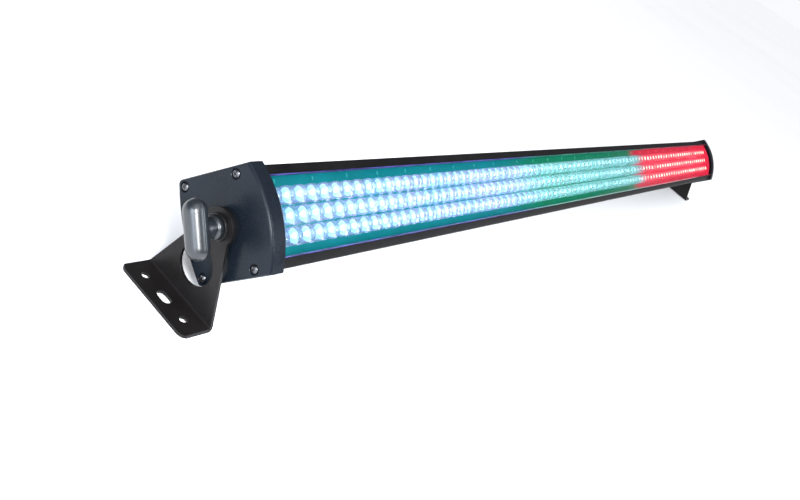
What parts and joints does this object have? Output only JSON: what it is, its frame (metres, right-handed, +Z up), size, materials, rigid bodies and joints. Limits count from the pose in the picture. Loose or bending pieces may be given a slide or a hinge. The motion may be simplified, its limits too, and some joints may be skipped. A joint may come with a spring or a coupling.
{
  "type": "led strip batten",
  "caption": "Long LED wash bar: a black extruded housing with a clear curved window over rows of LEDs, on two tilting feet with clamping knobs.",
  "frame": {"origin": "on the floor, under the middle of the whole object (bounding box bottom centre)", "axes": "+X along the bar, -Y towards the side that the light leaves, +Z up"},
  "size_m": [1.1362, 0.086, 0.0958],
  "materials": {
    "cap_plastic": "satin moulded",
    "black_aluminium": "satin black powder coat",
    "clear_cover": "clear polished polycarbonate",
    "screw_steel": "blackened",
    "blue_board": "solder mask with clear LEDs, lit blue",
    "green_board": "solder mask with clear LEDs, lit green",
    "red_board": "solder mask with clear LEDs, lit red",
    "circuit_board": "solder mask",
    "supply_case": "plain sheet",
    "brass": "turned",
    "panel_paint": "fine textured black",
    "socket_plastic": "moulded",
    "socket_metal": "nickel plated",
    "display_plastic": "tinted",
    "button_plastic": "moulded",
    "foot_paint": "satin black powder coat",
    "knob_plastic": "satin moulded",
    "zinc_steel": "zinc plated",
    "spacer_rubber": "plain",
    "lead_sheath": "plain"
  },
  "bodies": {
    "bar": {"board_standoff_1": "zinc_steel", "board_standoff_2": "zinc_steel", "board_standoff_3": "zinc_steel", "board_standoff_4": "zinc_steel", "cap_screw_left_1": "screw_steel", "cap_screw_left_2": "screw_steel", "cap_screw_left_3": "screw_steel", "cap_screw_left_4": "screw_steel", "cap_screw_right_1": "screw_steel", "cap_screw_right_2": "screw_steel", "cap_screw_right_3": "screw_steel", "cap_screw_right_4": "screw_steel", "control_board": "circuit_board", "display": "display_plastic", "dmx_in_socket": "socket_metal", "dmx_out_socket": "socket_metal", "end_cap_left": "cap_plastic", "end_cap_right": "cap_plastic", "foot_spacer_left": "spacer_rubber", "foot_spacer_right": "spacer_rubber", "front_cover": "clear_cover", "fuse_holder": "socket_plastic", "housing_extrusion": "black_aluminium", "knob_insert_left": "brass", "knob_insert_right": "brass", "led_board_left": "blue_board", "led_board_middle": "green_board", "led_board_right": "red_board", "low_voltage_lead": "lead_sheath", "mains_inlet": "socket_plastic", "mains_lead": "lead_sheath", "panel_screw_1": "screw_steel", "panel_screw_2": "screw_steel", "panel_screw_3": "screw_steel", "panel_screw_4": "screw_steel", "power_supply": "supply_case", "rear_panel": "panel_paint", "supply_screw_1": "screw_steel", "supply_screw_2": "screw_steel"},
    "left_foot": {"foot_bracket_left": "foot_paint"},
    "right_foot": {"foot_bracket_right": "foot_paint"},
    "left_washer": {"knob_washer_left": "zinc_steel"},
    "right_washer": {"knob_washer_right": "zinc_steel"},
    "left_knob": {"knob_grip_left": "knob_plastic", "knob_stud_left": "zinc_steel"},
    "right_knob": {"knob_grip_right": "knob_plastic", "knob_stud_right": "zinc_steel"},
    "output_latch": {"dmx_out_latch": "socket_metal"},
    "fuse_carrier": {"fuse_cap": "socket_plastic"},
    "button_1": {"menu_button_1": "button_plastic"},
    "button_2": {"menu_button_2": "button_plastic"},
    "button_3": {"menu_button_3": "button_plastic"},
    "button_4": {"menu_button_4": "button_plastic"}
  },
  "joints": [
    {"name": "left_foot_tilt", "type": "hinge", "parent": "bar", "child": "left_foot", "pos_m": [-0.5438, -0.0014, 0.055], "axis": [1, 0, 0], "continuous": true},
    {"name": "left_washer_shift", "type": "slide", "parent": "bar", "child": "left_washer", "axis": [-1, 0, 0], "range_m": [0, 0.0025]},
    {"name": "left_knob_turn", "type": "hinge", "parent": "left_washer", "child": "left_knob", "pos_m": [-0.5611, -0.0014, 0.055], "axis": [-1, 0, 0], "range_deg": [0, 720]},
    {"name": "right_foot_tilt", "type": "hinge", "parent": "bar", "child": "right_foot", "pos_m": [0.5438, -0.0014, 0.055], "axis": [1, 0, 0], "continuous": true},
    {"name": "right_washer_shift", "type": "slide", "parent": "bar", "child": "right_washer", "axis": [1, 0, 0], "range_m": [0, 0.0025]},
    {"name": "right_knob_turn", "type": "hinge", "parent": "right_washer", "child": "right_knob", "pos_m": [0.5611, -0.0014, 0.055], "axis": [1, 0, 0], "range_deg": [0, 720]},
    {"name": "button_1_press", "type": "slide", "parent": "bar", "child": "button_1", "axis": [0, -0.6428, 0.766], "range_m": [0, 0.001], "stiffness_N_per_m": 800, "springref_m": -0.001},
    {"name": "button_2_press", "type": "slide", "parent": "bar", "child": "button_2", "axis": [0, -0.6428, 0.766], "range_m": [0, 0.001], "stiffness_N_per_m": 800, "springref_m": -0.001},
    {"name": "button_3_press", "type": "slide", "parent": "bar", "child": "button_3", "axis": [0, -0.6428, 0.766], "range_m": [0, 0.001], "stiffness_N_per_m": 800, "springref_m": -0.001},
    {"name": "button_4_press", "type": "slide", "parent": "bar", "child": "button_4", "axis": [0, -0.6428, 0.766], "range_m": [0, 0.001], "stiffness_N_per_m": 800, "springref_m": -0.001},
    {"name": "output_latch_press", "type": "slide", "parent": "bar", "child": "output_latch", "axis": [0, -0.6428, 0.766], "range_m": [0, 0.0014], "stiffness_N_per_m": 800, "springref_m": -0.001},
    {"name": "fuse_carrier_turn", "type": "hinge", "parent": "bar", "child": "fuse_carrier", "pos_m": [0.162, 0.02187, 0.02727], "axis": [0, 0.6428, -0.766], "range_deg": [0, 90]}
  ],
  "couplings": [
    {"joint": "left_knob_turn", "follows": "left_washer_shift", "rad_per_m": 5026.5},
    {"joint": "right_knob_turn", "follows": "right_washer_shift", "rad_per_m": 5026.5}
  ]
}
